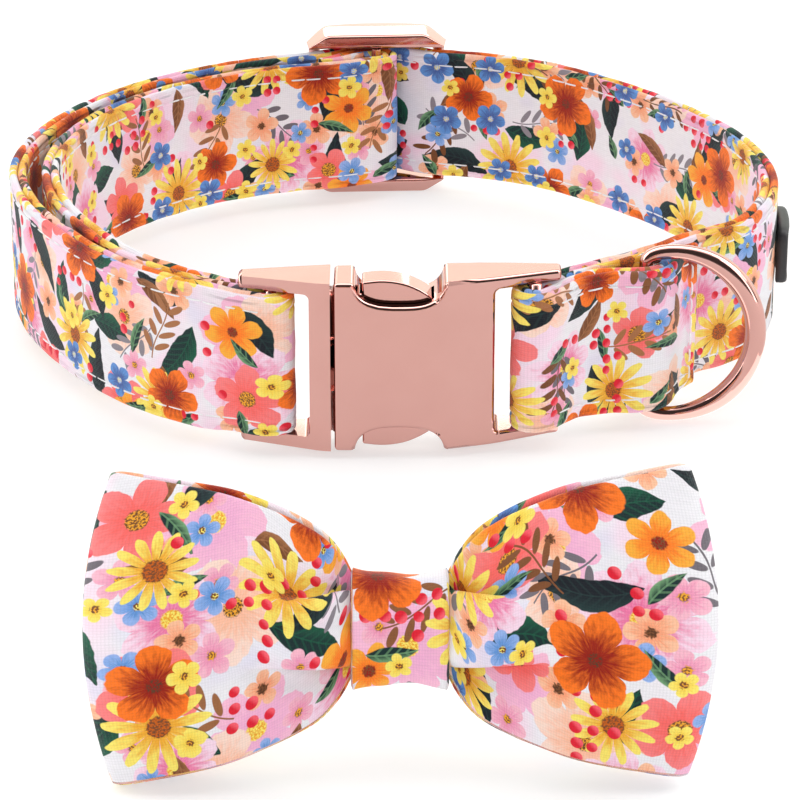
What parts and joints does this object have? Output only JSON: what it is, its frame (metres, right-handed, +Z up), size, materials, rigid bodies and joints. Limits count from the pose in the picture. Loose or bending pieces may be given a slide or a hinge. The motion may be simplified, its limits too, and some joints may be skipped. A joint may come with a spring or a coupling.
{
  "type": "pet bow tie collar",
  "caption": "Round pet collar of folded printed cloth with a quick-release buckle, a slider, a D-ring and a bare label, beside its detachable bow tie.",
  "frame": {"origin": "centre of the footprint of collar and bow together, on the surface that they stand on", "axes": "+X along the buckle, -Y towards the bow and the front of the set, +Z up, along the strap's width"},
  "size_m": [0.1368, 0.2458, 0.0423],
  "materials": {
    "printed_cotton": "plain weave with a printed pattern of flowers",
    "rose_gold": "polished rose-gold plating on cast zinc",
    "black_rubber": "matt",
    "white_elastic": "woven elastic"
  },
  "bodies": {
    "collar": {"strap": "printed_cotton", "buckle_male_half": "rose_gold", "buckle_female_half": "rose_gold", "release_wing_top": "rose_gold", "release_wing_bottom": "rose_gold", "slider": "rose_gold", "label": "black_rubber", "bow_body": "printed_cotton", "bow_knot": "printed_cotton", "bow_back_loop": "white_elastic"},
    "ring": {"d_ring": "rose_gold"}
  },
  "joints": [
    {"name": "d_ring_swing", "type": "hinge", "parent": "collar", "child": "ring", "pos_m": [0.04052, 0.00331, 0.016], "axis": [0, 0, 1], "range_deg": [-125, 25]}
  ]
}
